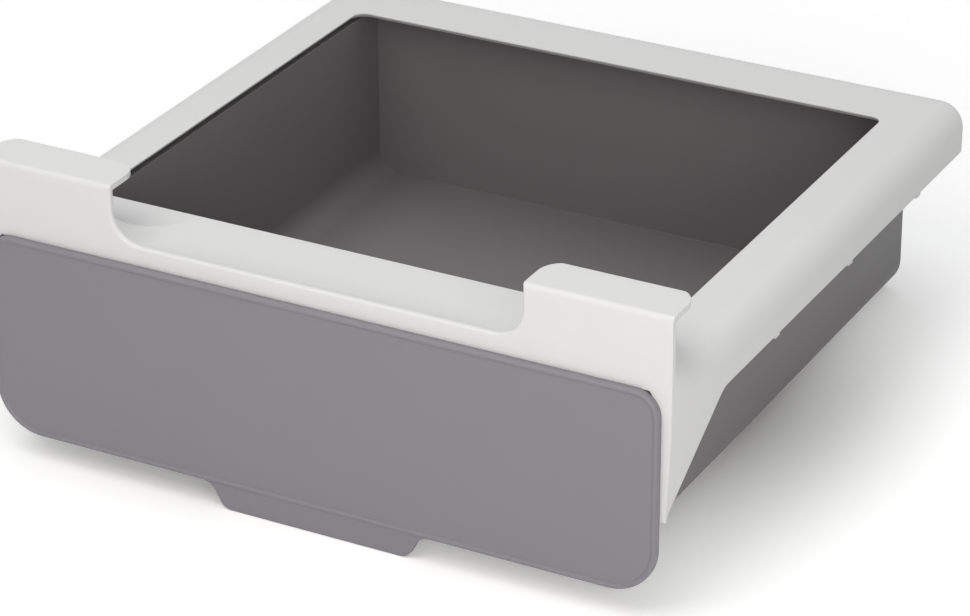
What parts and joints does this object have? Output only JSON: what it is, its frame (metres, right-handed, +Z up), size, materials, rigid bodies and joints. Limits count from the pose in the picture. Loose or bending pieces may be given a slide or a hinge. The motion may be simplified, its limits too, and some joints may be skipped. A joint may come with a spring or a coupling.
{
  "type": "cabinet drawer organizer",
  "caption": "Under-shelf cabinet organizer: a grey drawer that slides forward out of a white open-topped frame whose two raised ears cover the shelf's front edge.",
  "frame": {"origin": "on the frame's flat top face, in the middle of the line that lies below the back edges of the two ears", "axes": "+X to the right seen from the front, +Y to the back, +Z up; the drawer slides out along -Y"},
  "size_m": [0.288, 0.2839, 0.1225],
  "materials": {
    "white_frame": "fine matt moulded plastic",
    "white_runner": "smooth moulded plastic, low friction",
    "grey_tub": "fine matt moulded plastic",
    "grey_front": "fine matt moulded plastic",
    "screws": "zinc-plated steel",
    "glides": "natural low-friction plastic"
  },
  "bodies": {
    "frame": {"top_frame": "white_frame", "runner_left": "white_runner", "runner_right": "white_runner"},
    "drawer": {"drawer_tub": "grey_tub", "front_panel": "grey_front", "panel_screws": "screws", "glide_left": "glides", "glide_right": "glides"}
  },
  "joints": [
    {"name": "drawer_slide", "type": "slide", "parent": "frame", "child": "drawer", "axis": [0, -1, 0], "range_m": [0, 0.191]}
  ]
}
